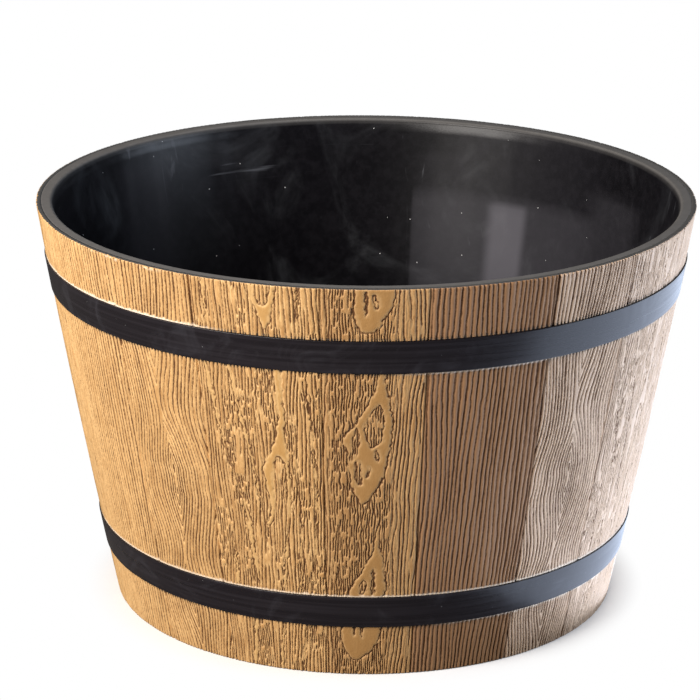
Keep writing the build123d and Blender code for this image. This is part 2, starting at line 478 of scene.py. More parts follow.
boardPaint = {
    "land": (0.735, 0.445, 0.188, 1),
    "landDeep": (0.50, 0.268, 0.098, 1),  # streaks in the land
    "stain": (0.36, 0.18, 0.070, 1),     # on the sides of the grooves
    "pool": (0.55, 0.305, 0.098, 1),
    "grooveEdgeHighlight": (0.87, 0.60, 0.295, 1),       # painted highlight beside the grooves, where their raised edges would catch the light
    "brownLand": (0.265, 0.127, 0.050, 1),
    "paleLand": (0.68, 0.525, 0.415, 1),
    "wash": (0.115, 0.049, 0.018, 1),     # what stays in the grooves
    "grooveEndShade": (0.010, 0.009, 0.010, 1),     # painted shade in the ends of the grooves, against a hoop
    "lip": (0.86, 0.74, 0.60, 1),        # bare edge beside a hoop
    "bare": (0.085, 0.083, 0.08, 1),     # resin where the paint ends at the rim, in a grey lighter than the black resin: painted light from above, as on the rim top
    "streakScale": 320.0,
    "cloudScale": 22.0,
    "mottleScale": 620.0,
    "crumbScale": 900.0,                 # of the ragged sides of the grooves
    "crumbs": 0.9,
    "grooveStart": 0.39,                 # where the wash begins and is full, down a groove's side
    "grooveEnd": 0.86,
    "specular": 0.3,
}


def makePaintedGrain():
    look = boardPaint
    material, tree = newMaterial("paintedGrain")
    groove, pool = surfaceValue(tree, "groove"), surfaceValue(tree, "pool")
    streaks = noiseNode(tree, positionNode(tree, (1, 1, 0.05)), look["streakScale"], 4.0, 0.6)
    clouds = noiseNode(tree, positionNode(tree, (1, 1, 0.35)), look["cloudScale"], 3.0, 0.55)
    land = blendColours(tree, remap(tree, streaks, 0.42, 0.68), look["land"], look["landDeep"])
    land = blendColours(tree, remap(tree, clouds, 0.45, 0.75, 0.0, 0.45), land, look["landDeep"])
    mottle = noiseNode(tree, positionNode(tree, (1, 1, 0.4)), look["mottleScale"], 3.0, 0.7)
    land = blendColours(tree, remap(tree, mottle, 0.42, 0.7, 0.0, 0.75), land, look["landDeep"])
    land = blendColours(tree, times(tree, pool, 0.8), land, look["pool"])
    crumbs = noiseNode(tree, positionNode(tree, (1, 1, 0.6)), look["crumbScale"], 2.0, 0.6)
    crumbs = minus(tree, crumbs, 0.5)
    ragged = plus(tree, groove, times(tree, crumbs, look["crumbs"]))
    cut = remap(tree, ragged, look["grooveStart"], look["grooveEnd"])
    # Painted highlight: the land is lightened beside the grooves and at the pillowed edges of pools and lanes
    beside = times(tree, remap(tree, groove, 0.02, 0.2, 0.0, 0.4), minus(tree, 1.0, cut))
    land = blendColours(tree, beside, land, look["grooveEdgeHighlight"])
    land = blendColours(tree, remap(tree, ragged, 0.22, 0.75, 0.0, 0.6), land, look["stain"])
    land = blendColours(tree, surfaceValue(tree, "brown"), land, look["brownLand"])
    # Partly painted light: the boards on the right are paler, partly in their own paint and partly for the
    # light from the right
    land = blendColours(tree, surfaceValue(tree, "pale"), land, look["paleLand"])
    uneven = noiseNode(tree, positionNode(tree, (1, 1, 0.4)), 260.0, 3.0, 0.6)
    uneven = remap(tree, uneven, 0.3, 0.7, 0.75, 1.1)
    washed = times(tree, cut, uneven, clamp=True)
    colour = blendColours(tree, washed, land, look["wash"])
    # Painted shade: the ends of the grooves go near black against a hoop
    colour = blendColours(tree, surfaceValue(tree, "grooveEndShade"), colour, look["grooveEndShade"])
    colour = blendColours(tree, surfaceValue(tree, "lip"), colour, look["lip"])
    rimEdge = noiseNode(tree, positionNode(tree), 420.0, 3.0, 0.6)
    bare = plus(tree, surfaceValue(tree, "bare"), minus(tree, rimEdge, 0.5))
    bare = remap(tree, bare, 0.45, 0.6)
    colour = blendColours(tree, bare, colour, look["bare"])
    grain = useGroup(tree, mouldGrain, {"Grain Size": 1100.0, "Strength": 0.35, "Waviness": 0.15})
    relief = minus(tree, plus(tree, grain["Height"], crumbs), times(tree, cut, 0.6))
    roughness = remap(tree, washed, 0.0, 1.0, 0.5, 0.72)
    inputs = {"Base Color": colour, "Roughness": roughness, "Specular IOR Level": look["specular"]}
    finish(tree, inputs, relief, 0.0003)
    return material


def blackColour(tree, look, shade, haze):  # uneven black under haze and rub marks
    colour = blendColours(tree, shade, look["dark"], look["light"])
    colour = blendColours(tree, times(tree, haze, look["hazeStrength"]), colour, look["haze"])
    if "scratches" in look:
        marks = useGroup(tree, rubMarks, look["scratches"])["Marks"]
        colour = blendColours(tree, marks, colour, look["marks"])
    return colour


resinLook = {  # the pot's core: wall, floor and underside
    "dark": (0.004, 0.0037, 0.0048, 1),
    "light": (0.008, 0.0074, 0.0092, 1),
    "haze": (0.10, 0.105, 0.115, 1),
    "hazeStrength": 0.3,
    "marks": (0.12, 0.125, 0.14, 1),
    # painted reflection: the paler patches on the inside of the wall
    "innerReflection": (0.14, 0.135, 0.155, 1),
    "specks": (0.5, 0.5, 0.5, 1),
    # the rim's top: painted light, a lighter grey for the light that falls on it from above
    "rimDark": (0.115, 0.11, 0.106, 1),
    "rimLight": (0.17, 0.163, 0.157, 1),
    "specular": 0.18,
    "dust": {"Haze Scale": 9.0, "Haze Start": 0.5, "Haze End": 0.78,
             "Speck Scale": 160.0, "Speck Size": 0.075},
    "scratches": {"Scratch Scale": 48.0, "Amount": 0.6},
    "grain": {"Grain Size": 700.0, "Strength": 0.25, "Waviness": 0.6},
}


def makeBlackResin():
    look = resinLook
    material, tree = newMaterial("blackResin")
    dust = useGroup(tree, settledDust, look["dust"])
    grain = useGroup(tree, mouldGrain, look["grain"])
    colour = blackColour(tree, look, remap(tree, grain["Shade"], 0.35, 0.7), dust["Haze"])
    # Painted reflection: paler patches on the inside of the wall, where the lit wall would show in the gloss
    colour = blendColours(tree, surfaceValue(tree, "innerReflection"), colour, look["innerReflection"])
    colour = blendColours(tree, dust["Specks"], colour, look["specks"])
    rim = surfaceValue(tree, "rim")
    # The rim's top is rougher, and painted a lighter grey for the light that falls on it from above
    rimColour = blendColours(tree, grain["Shade"], look["rimDark"], look["rimLight"])
    colour = blendColours(tree, rim, colour, rimColour)
    roughness = remap(tree, dust["Haze"], 0.0, 1.0, 0.3, 0.46)
    roughness = plus(tree, roughness, times(tree, rim, 0.2))
    inputs = {"Base Color": colour, "Roughness": roughness, "Specular IOR Level": look["specular"]}
    finish(tree, inputs, grain["Height"], 0.0003, 0.35)
    return material


hoopLook = {
    "dark": (0.010, 0.008, 0.0105, 1),
    "light": (0.018, 0.0152, 0.019, 1),
    "haze": (0.11, 0.11, 0.13, 1),
    "hazeStrength": 0.2,
    "marks": (0.05, 0.05, 0.06, 1),
    "specks": (0.3, 0.3, 0.3, 1),
    "specular": 0.35,
    "dust": {"Haze Scale": 26.0, "Haze Start": 0.52, "Haze End": 0.8,
             "Speck Scale": 260.0, "Speck Size": 0.06},
    "scratches": {"Scratch Scale": 70.0, "Amount": 0.5},
    "grain": {"Grain Size": 800.0, "Strength": 0.3, "Waviness": 0.35},
}


def makeBlackHoop():
    look = hoopLook
    material, tree = newMaterial("blackHoop")
    dust = useGroup(tree, settledDust, look["dust"])
    grain = useGroup(tree, mouldGrain, look["grain"])
    level = noiseNode(tree, positionNode(tree, (0.06, 0.06, 3.0)), 110.0, 3.0, 0.6)
    colour = blackColour(tree, look, remap(tree, level, 0.4, 0.7), dust["Haze"])
    colour = blendColours(tree, dust["Specks"], colour, look["specks"])
    roughness = remap(tree, level, 0.3, 0.7, 0.26, 0.34)
    height = plus(tree, grain["Height"], times(tree, level, 0.5))
    inputs = {"Base Color": colour, "Roughness": roughness, "Specular IOR Level": look["specular"]}
    finish(tree, inputs, height, 0.00025, 0.4)
    return material


rubberLook = {
    "dark": (0.013, 0.013, 0.013, 1),
    "light": (0.026, 0.026, 0.026, 1),
    "haze": (0.13, 0.13, 0.13, 1),
    "hazeStrength": 0.25,
    "specks": (0.3, 0.3, 0.3, 1),
    "specular": 0.35,
    "dust": {"Haze Scale": 60.0, "Haze Start": 0.45, "Haze End": 0.8,
             "Speck Scale": 420.0, "Speck Size": 0.08},
    "grain": {"Grain Size": 1500.0, "Strength": 0.6, "Waviness": 0.1},
}


def makeStopperRubber():
    look = rubberLook
    material, tree = newMaterial("stopperRubber")
    dust = useGroup(tree, settledDust, look["dust"])
    grain = useGroup(tree, mouldGrain, look["grain"])
    colour = blackColour(tree, look, grain["Shade"], dust["Haze"])
    colour = blendColours(tree, dust["Specks"], colour, look["specks"])
    roughness = remap(tree, grain["Shade"], 0.3, 0.7, 0.62, 0.8)
    inputs = {"Base Color": colour, "Roughness": roughness, "Specular IOR Level": look["specular"]}
    finish(tree, inputs, grain["Height"], 0.0002, 0.5)
    return material


paintedGrain = makePaintedGrain()
blackResin = makeBlackResin()
blackHoop = makeBlackHoop()
stopperRubber = makeStopperRubber()
print("materials: made")


# Meshes


def place(name, data):
    thing = bpy.data.objects.new(name, data)
    bpy.context.scene.collection.objects.link(thing)
    return thing


def newPiece(name, points, faces, material, values=None, smooth=True):
    mesh = bpy.data.meshes.new(name)
    corners = [len(face) for face in faces]
    flat = np.concatenate([np.asarray(face).ravel() for face in faces])
    if isinstance(faces, np.ndarray):
        corners = [faces.shape[1]] * len(faces)
    mesh.vertices.add(len(points))
    mesh.vertices.foreach_set("co", np.asarray(points, np.float32).ravel())
    mesh.loops.add(len(flat))
    mesh.loops.foreach_set("vertex_index", flat.astype(np.int32))
    mesh.polygons.add(len(corners))
    starts = np.concatenate([[0], np.cumsum(corners)[:-1]])
    mesh.polygons.foreach_set("loop_start", starts.astype(np.int32))
    mesh.update(calc_edges=True)
    mesh.validate()
    for label, numbers in (values or {}).items():
        layer = mesh.attributes.new(label, "FLOAT", "POINT")
        layer.data.foreach_set("value", np.asarray(numbers, np.float32).ravel())
    if smooth:
        mesh.polygons.foreach_set("use_smooth", np.ones(len(mesh.polygons), bool))
    piece = place(name, mesh)
    mesh.materials.append(material)
    return piece


def gridFaces(rowCount, columnCount, loopRows=False, loopColumns=False):
    rows = np.arange(rowCount if loopRows else rowCount - 1)
    columns = np.arange(columnCount if loopColumns else columnCount - 1)
    row, column = np.meshgrid(rows, columns, indexing="ij")
    nextRow, nextColumn = (row + 1) % rowCount, (column + 1) % columnCount
    corners = [row * columnCount + column, row * columnCount + nextColumn,
               nextRow * columnCount + nextColumn, nextRow * columnCount + column]
    return np.stack(corners, axis=-1).reshape(-1, 4)


def turnedGrid(profile, columns):  # a profile carried round the axis: distances, heights and angles
    turns = np.linspace(0, 2 * math.pi, columns, endpoint=False)
    distance, angle = np.meshgrid(profile[:, 0], turns, indexing="ij")
    return distance, np.repeat(profile[:, 1:2], columns, axis=1), angle


# Boards: the carved and painted skin of the pot, one piece for each moulded stave

boards = {
    "figureOrder": ("pool", "straight", "arch", "lane"),  # from the middle of the front to the right
    "wideAngle": 22.3,
    "narrowAngle": 17.7,
    "firstSeam": -7.3,          # left seam of the front board
    "count": 18,
    "seamHalfWidth": 1.0,
    "seamDepth": 1.8,
    "seamSharpness": 1.15,
    "shoulderDepth": 0.25,      # rounds a board off beside its seams
    "shoulderWidth": 3.2,
    "swell": 0.10,              # slow unevenness of the land
    # Rows at the ends of a board: how far in, how far from the end, and how much carving is left
    "endRows": ((4, 0, 0), (2.4, 0, 0), (1.4, 0, 0.25), (0.75, 0.03, 0.6), (0.28, 0.28, 0.85),
                (0.05, 0.8, 1)),
    "bareRows": (0.35, 0.35, 0.8, 1, 1, 1),  # how bare of paint the rows at the rim are
    "lipReach": 1.3,            # of the pale edges beside the hoops
    "meanRadius": 225.0,        # where one millimetre across is one millimetre
    "carvingSeed": 100,
    # How brown and how pale each board's paint is, in the order above. The pale boards on the right are
    # partly their own paler paint and partly painted light, for the light from the right
    "brown": (0.42, 0.92, 0.22, 0.10, 0.20, 0.05, 0.14, 0.10, 0.22,
              0.08, 0.18, 0.12, 0.05, 0.16, 0.02, 0.0, 0.0, 0.04),
    "pale": (0.0, 0.08, 0.58, 0.68, 0.68, 0.6, 0.2, 0.2, 0.1,
             0.1, 0.05, 0.05, 0.0, 0.0, 0.0, 0.0, 0.0, 0.0),
}
edgeLips = {  # pale edges beside the hoops: which edge, between which azimuths, how strong
    "upperTop": ((-110, -28), 1.0),
    "upperBottom": ((8, 33), 0.6),
    "lowerTop": ((-100, 100), 0.75),
    "lowerBottom": ((18, 110), 0.6),
}
rimFlecks = {"azimuths": (-51, -36), "reach": 3.2}  # torn, pale paint under the rim
(upperBottom, upperTop), (lowerBottom, lowerTop) = channels
edgeHeights = {"upperTop": upperTop, "upperBottom": upperBottom, "lowerTop": lowerTop,
               "lowerBottom": lowerBottom}
figureMakers = {"straight": straightFigure, "arch": archFigure, "lane": laneFigure, "pool": poolFigure}


def boardHeights(rowPitch):  # in millimetres, closer at the ends and at the channels' edges
    heights = np.arange(wall["bevel"] / mm + 0.2, (potHeight - wall["bevel"]) / mm - 0.2, rowPitch)
    edges = np.ravel(channels) / mm
    near = np.abs(heights[:, None] - edges).min(axis=1) < 0.45
    extra = np.concatenate([edges - 0.04, edges + 0.04, edges - 0.5, edges + 0.5])
    return np.sort(np.concatenate([heights[~near], extra]))


def carveFigure(name, boardAngle):
    look = figures[name]
    width = math.radians(boardAngle) * boards["meanRadius"]
    count = int(round(width / look["columns"])) + 1
    across, height = np.meshgrid(np.linspace(-width / 2, width / 2, count), boardHeights(look["rows"]))
    grooves, smooth = figureMakers[name](across, height, look, boards["carvingSeed"])
    return across, height, grooves, smooth


def hoopLip(azimuth, height, seed):  # 1 on the pale, plain edge beside a hoop
    azimuth = (azimuth + 180) % 360 - 180
    lip = np.zeros_like(height)
    ragged = valueNoise(azimuth * 2.2, height / 3, seed)
    for edge, ((start, end), strength) in edgeLips.items():
        away = np.abs(height - edgeHeights[edge] / mm)
        here = ramp(azimuth, start - 6, start + 6) * (1 - ramp(azimuth, end - 6, end + 6))
        here = 0.04 + 0.96 * here
        reach = boards["lipReach"] + 0.5 * ragged + 0.4 * valueNoise(azimuth / 3, height * 0, seed + 1)
        lip = np.maximum(lip, strength * here * (1 - ramp(away, reach * 0.6, reach * 1.4)))
    start, end = rimFlecks["azimuths"]
    here = ramp(azimuth, start - 2, start + 2) * (1 - ramp(azimuth, end - 2, end + 2))
    high = ramp(height, potHeight / mm - rimFlecks["reach"], potHeight / mm - 0.5)
    flecks = ramp(valueNoise(azimuth * 1.6, height / 1.5, seed + 3), -0.15, 0.25)
    return np.maximum(lip, here * high * flecks)


def makeBoard(number, figure, startAngle, boardAngle, carved):
    across, height, grooves, smooth = carved
    azimuth = startAngle + (across / across.max() + 1) / 2 * boardAngle
    z = height * mm
    land = wallRadius(z)
    fromSeam = (np.abs(across).max() - np.abs(across)) * land / (boards["meanRadius"] * mm)
    seam = np.clip(1 - fromSeam / boards["seamHalfWidth"], 0, 1) ** boards["seamSharpness"]
    seam = seam * boards["seamDepth"]
    seam = seam + boards["shoulderDepth"] * (1 - ramp(fromSeam, 0, boards["shoulderWidth"]))
    lip = hoopLip(azimuth, height, 900)
    inChannel = np.zeros(z.shape, bool)
    for low, high in channels:
        inChannel |= (z > low) & (z < high)
    edgeGap = np.abs(z[..., None] - np.ravel(channels)).min(axis=-1) / mm
    grooves = grooves * (1 - 0.75 * np.clip(lip, 0, 1))
    # Painted shade in the ends of the grooves, within a few millimetres of a hoop's edge
    grooveEndShade = ramp(grooves, 0.1, 0.5) * (1 - ramp(edgeGap, 0.6, 2.6)) * np.clip(1 - 1.3 * lip, 0, 1)
    seamShade = 0.32 + 0.3 * valueNoise(height / 9, across * 0 + number, 940)
    shown = np.maximum(grooves, seamShade * (1 - ramp(fromSeam, 0.3, 1.0)))
    swell = boards["swell"] * valueNoise(across / 11, height / 30, 930 + number)
    depth = grooves * figures[figure]["depth"] * ramp(edgeGap, -0.4, 0.5)
    depth = depth + np.maximum(seam, 0) + np.maximum(swell, 0)
    depth = np.minimum(depth, boards["seamDepth"] + boards["shoulderDepth"])
    depth = np.where(inChannel, np.maximum(wall["channelDepth"] / mm, depth), depth) * mm
    inset, rise, carry = np.array(boards["endRows"], float).T
    inset, rise = inset * mm, rise * mm
    lowRows, highRows = (inset[:, None] + carry[:, None] * row for row in (depth[0], depth[-1]))
    highRows = highRows[::-1]
    angles = np.radians(np.broadcast_to(azimuth[0], (len(z) + 2 * len(inset), azimuth.shape[1])))
    heights = np.concatenate([rise, z[:, 0], potHeight - rise[::-1]])[:, None] + 0 * angles
    radii = wallRadius(heights) - np.concatenate([lowRows, depth, highRows])
    points = ringPoint(angles, radii, heights).reshape(-1, 3)
    rowCount, columnCount = angles.shape
    quads = gridFaces(rowCount, columnCount, loopRows=True)
    column = np.arange(rowCount) * columnCount
    sides = [column[::-1], column + columnCount - 1]
    ends = np.zeros((len(inset), columnCount))
    bareBase = ends + (np.arange(len(inset)) < 4)[:, None]
    bareRim = ends + np.array(boards["bareRows"])[:, None]
    values = {
        "groove": np.concatenate([carry[:, None] * shown[0], shown, carry[::-1, None] * shown[-1]]),
        "grooveEndShade": np.concatenate([ends, grooveEndShade, ends]),
        "pool": np.concatenate([ends, smooth, ends]),
        "lip": np.concatenate([ends, lip, ends]),
        "bare": np.concatenate([bareBase, 0 * z, bareRim]),
        "brown": np.full(rowCount * columnCount, boards["brown"][number]),
        "pale": np.full(rowCount * columnCount, boards["pale"][number]),
    }
    piece = newPiece(f"stave_{number + 1:02d}", points, list(quads) + sides, paintedGrain, values)
    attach(piece, "pot")
    return piece


carvings = {}
staves = []
startAngle = boards["firstSeam"]
for number in range(boards["count"]):
    fromFront = number if number < boards["count"] / 2 else number - boards["count"]
    figure = boards["figureOrder"][fromFront % 4]
    boardAngle = boards["wideAngle"] if figure in ("straight", "lane") else boards["narrowAngle"]
    if figure not in carvings:
        carvings[figure] = carveFigure(figure, boardAngle)
    staves.append(makeBoard(number, figure, startAngle, boardAngle, carvings[figure]))
    startAngle += boardAngle
for stave in staves:
    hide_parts("pot_body")
print("staves:", sum(len(stave.data.polygons) for stave in staves), "faces")


# Core: the inside of the wall, the floor and the underside, all black resin

core = {
    "columns": 720,
    "rimDip": 0.02 * mm,       # below the tops of the boards
    "boardOverlap": 0.6 * mm,  # how far the core reaches under the boards
    "innerWaves": 0.16 * mm,
    "rimWaves": 0.10 * mm,
    "footDraft": 2 * mm,
    "ribs": 9,
    "ribThickness": 6 * mm,
    "ribHeight": 5 * mm,
    "edge": 0.6 * mm,          # rounded off the corners of the dish, the drain hole and the boss
    "ribEdge": 0.8 * mm,
    "seed": 500,
    # Painted reflection on the inside of the wall, paler patches where the lit front of the wall and the
    # lamps would show in the gloss: azimuths with how soft each end is, top, strength
    "innerReflectionPatches": (
        (127, 170.2, 4, 0.4, 257 * mm, 0.13),
        (144.5, 153, 1.2, 1.6, 252 * mm, 0.40),
        (112, 127, 4, 4, 280 * mm, 0.10),
        (158, 168, 3, 3, 290 * mm, 0.05),
        (224, 238, 4, 4, 300 * mm, 0.08),
        (128, 158, 9, 9, 330 * mm, 0.05),
    ),
}


def arcPoints(centre, radius, fromAngle, toAngle, steps):
    angles = np.radians(np.linspace(fromAngle, toAngle, steps + 1))
    return [(centre[0] + radius * math.cos(a), centre[1] + radius * math.sin(a)) for a in angles]


def coreProfile():  # (radius, height), from the rim inwards, down the wall and under the pot
    top = potHeight - core["rimDip"]
    behindBoards = wall["skinThickness"] - core["boardOverlap"]
    rimOuter = wallRadius(potHeight) - behindBoards
    rimInner = wallRadius(potHeight) - wall["thickness"]
    rounded = wall["innerRound"]
    profile = [(rimOuter - step * (rimOuter - rimInner - rounded) / 4, top) for step in range(5)]
    profile += arcPoints((rimInner + rounded, top - rounded), rounded, 96, 184, 7)
    floorStart = wallRadius(wall["floorTop"]) - wall["thickness"]
    high, low = top - rounded - 1.5 * mm, wall["floorTop"] + wall["floorRound"] * 0.9
    for height in np.linspace(high, low, 46):
        profile.append((wallRadius(height) - wall["thickness"], height))
    wallEnd = wallRadius(low) - wall["thickness"]
    corner = Vector((floorStart, wall["floorTop"]))
    start, end = Vector((wallEnd, low)), Vector((floorStart - wall["floorRound"], wall["floorTop"]))
    for step in range(1, 10):
        t = step / 9
        point = start * (1 - t) ** 2 + corner * 2 * t * (1 - t) + end * t * t
        profile.append(tuple(point))
    for radius in np.linspace(end.x - 8 * mm, wall["dishRadius"] + 4 * mm, 14):
        profile.append((radius, wall["floorTop"]))
    edge = core["edge"]
    dish, drain, boss = wall["dishRadius"], wall["drainRadius"], wall["bossRadius"]
    profile += [(dish + edge, wall["floorTop"]), (dish + edge * 0.3, wall["floorTop"] - edge * 0.3),
                (dish, wall["floorTop"] - edge), (dish, wall["dishFloor"] + edge),
                (dish - edge, wall["dishFloor"]), (drain + edge, wall["dishFloor"]),
                (drain, wall["dishFloor"] - edge), (drain, wall["bossBottom"] + edge),
                (drain + edge, wall["bossBottom"]), (boss - edge, wall["bossBottom"]),
                (boss, wall["bossBottom"] + edge), (boss, wall["footHeight"] - 1 * mm),
                (boss + 1 * mm, wall["footHeight"])]
    footInner = wallRadius(0) - wall["footWidth"]
    for radius in np.linspace(boss + 12 * mm, footInner - core["footDraft"] - 1 * mm, 8):
        profile.append((radius, wall["footHeight"]))
    profile += [(footInner - core["footDraft"], wall["footHeight"] - 1 * mm), (footInner - 0.3 * mm, edge),
                (footInner + edge, 0.0), (wallRadius(0) - behindBoards - edge, 0.0),
                (wallRadius(0) - behindBoards, 0.02 * mm)]
    for height in np.linspace(12 * mm, potHeight - 6 * mm, 6):
        profile.append((wallRadius(height) - behindBoards, height))
    return np.array(profile)


def coreRibs(first):  # bars under the floor, their corners numbered from first
    points, faces = [], []
    reach = wallRadius(0) - wall["footWidth"] - core["footDraft"] / 2
    bottom, top = wall["footHeight"] - core["ribHeight"], wall["footHeight"] + 2 * mm
    half, edge = core["ribThickness"] / 2, core["ribEdge"]
    section = [(-half, top), (-half, bottom + edge), (-half + edge * 0.3, bottom + edge * 0.3),
               (-half + edge, bottom), (half - edge, bottom), (half - edge * 0.3, bottom + edge * 0.3),
               (half, bottom + edge), (half, top)]
    for index in range(core["ribs"]):
        direction = math.radians(180 + 360 / core["ribs"] * index)
        along = np.array([math.sin(direction), -math.cos(direction), 0])
        sideways = np.array([math.cos(direction), math.sin(direction), 0])
        near = [first + len(points) + corner for corner in range(len(section))]
        far = [corner + len(section) for corner in near]
        for distance in (wall["bossRadius"] - 1 * mm, reach):
            for offset, z in section:
                points.append(along * distance + sideways * offset + np.array([0, 0, z]))
        for corner in range(len(section)):
            following = (corner + 1) % len(section)
            faces.append([near[corner], near[following], far[following], far[corner]])
        faces += [near[::-1], far]
    return points, faces


def makeCore():
    profile = coreProfile()
    columns = core["columns"]
    radius, height, angle = turnedGrid(profile, columns)
    around = angle / (2 * math.pi) * 256
    onWall = ramp(height, wall["floorTop"] + 10 * mm, wall["floorTop"] + 40 * mm)
    inside = radius < wallRadius(height) - wall["skinThickness"] - 2 * mm
    waves = valueNoise(around / 2, height / (70 * mm), core["seed"]) * core["innerWaves"]
    radius = radius - (waves + core["innerWaves"]) * onWall * inside * (height < potHeight - 4 * mm)
    atRim = ramp(height, potHeight - 4 * mm, potHeight - 1 * mm)
    dip = (1 + valueNoise(around, radius / (5 * mm), core["seed"] + 1)) / 2 * core["rimWaves"] * atRim
    outerEdge = np.arange(len(profile))[:, None] == 0
    height = height - dip * ~outerEdge
    points = ringPoint(angle, radius, height).reshape(-1, 3)
    quads = gridFaces(len(profile), columns, loopRows=True, loopColumns=True)
    fromRim = radius - wallRadius(potHeight)
    rim = (height > potHeight - 3.4 * mm).astype(float) * ramp(fromRim, -13.5 * mm, -11.5 * mm)
    azimuths = np.degrees(angle)
    # Painted reflection patches, only on the inside of the wall
    innerReflection = np.zeros_like(azimuths)
    for start, end, startSoft, endSoft, top, strength in core["innerReflectionPatches"]:
        patch = ramp(azimuths, start - startSoft, start + startSoft)
        patch = patch * (1 - ramp(azimuths, end - endSoft, end + endSoft))
        innerReflection = innerReflection + strength * patch * (1 - ramp(height, top - 3 * mm, top + 3 * mm))
    innerReflection = innerReflection * inside * onWall
    ribPoints, ribFaces = coreRibs(len(points))
    values = {
        "rim": np.concatenate([rim.ravel(), np.zeros(len(ribPoints))]),
        "innerReflection": np.concatenate([innerReflection.ravel(), np.zeros(len(ribPoints))]),
    }
    points = np.concatenate([points, np.array(ribPoints)])
    piece = newPiece("pot_core", points, list(quads) + ribFaces, blackResin, values)
    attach(piece, "pot")
    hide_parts("pot_body")
    return piece


potCore = makeCore()
print("core:", len(potCore.data.polygons), "faces")


# Hoops: black bands in the channels

hoops = {
    "columns": 900,
    "proud": 1.0 * mm,
    "backInset": 1.15 * mm,
    "edgeRound": 0.35 * mm,
    "waves": 0.12 * mm,
    "narrowing": 0.012,        # where a band is a little less wide
    "seeds": {"upper_hoop": 610, "lower_hoop": 640},
}


def makeHoop(name):
    low, high = (corner.z for corner in hoopBoxes[name])
    edge = hoops["edgeRound"]
    offsets = [(-hoops["backInset"], low), (hoops["proud"] - edge * 1.6, low)]
    face = hoops["proud"] - 0.05 * mm
    offsets += [(face - edge * 0.55, low + edge * 0.12), (face - edge * 0.15, low + edge * 0.5),
                (face, low + edge * 1.1)]
    steps = np.linspace(low + 2 * edge, high - 2 * edge, 12)
    offsets += [(face, height) for height in steps]
    offsets += [(face, high - edge * 1.1), (face - edge * 0.15, high - edge * 0.5),
                (face - edge * 0.55, high - edge * 0.12), (hoops["proud"] - edge * 1.6, high),
                (-hoops["backInset"], high)]
    profile = np.array(offsets)
    columns = hoops["columns"]
    offset, height, angle = turnedGrid(profile, columns)
    around = angle / (2 * math.pi) * 256
    seed = hoops["seeds"][name]
    outer = (offset > 0).astype(float)
    wave = valueNoise(around / 8, height / (14 * mm), seed)
    wave = wave + 0.5 * valueNoise(around, height / (7 * mm), seed + 1)
    offset = offset - outer * np.maximum(wave, 0) * hoops["waves"]
    middle = (low + high) / 2
    uneven = valueNoise(around / 3, around * 0, seed + 2) + 0.6 * valueNoise(around * 2, around * 0, seed + 3)
    height = middle + (height - middle) * (1 - hoops["narrowing"] * np.maximum(uneven, 0))
    points = ringPoint(angle, wallRadius(height) + wall["landInset"] + offset, height).reshape(-1, 3)
    quads = gridFaces(len(profile), columns, loopRows=True, loopColumns=True)
    piece = newPiece(f"{name}_band", points, quads, blackHoop)
    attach(piece, "pot")
    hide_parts(name)
    return piece


hoopPieces = [makeHoop(name) for name in hoopBoxes]
print("hoops:", sum(len(hoop.data.polygons) for hoop in hoopPieces), "faces")


# Stopper: turned head and shank, with a grip across the head

stopper = {
    "shankRadius": 11.8 * mm,
    "ringRadius": 12.2 * mm,
    "bottom": 4.5 * mm,
    "tip": 1.6 * mm,
    "headBottom": 16.7 * mm,
    "headTop": 20.1 * mm,
    "headRadius": 19 * mm,
    "headEdge": 1.2 * mm,
    "ringHeights": (9.9 * mm, 14.2 * mm),
    "ringHalf": 1.7 * mm,
    "gripLength": 24 * mm,
    "gripThickness": 5 * mm,
    "gripWaist": 0.16,
    "gripTop": 28.1 * mm,
    "columns": 128,
}


def stopperProfile():  # (radius, height), from the tip up to the middle of the head
    shank, bottom, tip = stopper["shankRadius"], stopper["bottom"], stopper["tip"]
    profile = [(0.0, bottom), (shank * 0.5, bottom), (shank - tip, bottom),
               (shank - tip * 0.5, bottom + tip * 0.35), (shank, bottom + tip)]
    for ring in stopper["ringHeights"]:
        for step in range(-4, 5):
            share = step / 4
            bulge = (stopper["ringRadius"] - shank) * (0.5 + 0.5 * math.cos(math.pi * share))
            profile.append((shank + bulge, ring + share * stopper["ringHalf"]))
    head, low, high, edge = (stopper[label] for label in ("headRadius", "headBottom", "headTop", "headEdge"))
    profile += [(shank, low - 0.3 * mm), (shank + 0.3 * mm, low), (head - 0.5 * mm, low),
                (head - 0.1 * mm, low + 0.15 * mm), (head, low + 0.5 * mm)]
    profile += arcPoints((head - edge, high - edge), edge, 0, 90, 6)
    profile += [(head * 0.8, high - 0.05 * mm), (head * 0.5, high), (0.0, high)]
    return np.array(profile)


def gripOutline():  # seen from above: round ends, and sides waisted for the fingers
    halfLength, halfThick = stopper["gripLength"] / 2, stopper["gripThickness"] / 2
    straight = halfLength - halfThick
    outline = []
    for side in (1, -1):
        for step in range(17):
            turn = math.radians(-90 + step * 180 / 16)
            x = straight + halfThick * math.cos(turn)
            outline.append((side * x, side * halfThick * math.sin(turn)))
        for step in range(1, 8):
            x = straight * (1 - step / 4)
            waist = 1 - stopper["gripWaist"] * (1 - (x / halfLength) ** 2)
            outline.append((side * x, side * halfThick * waist))
    outline = np.array(outline)
    spine = np.array([[np.clip(x, -straight, straight), 0.0] for x, y in outline])
    return outline, (outline - spine) / halfThick


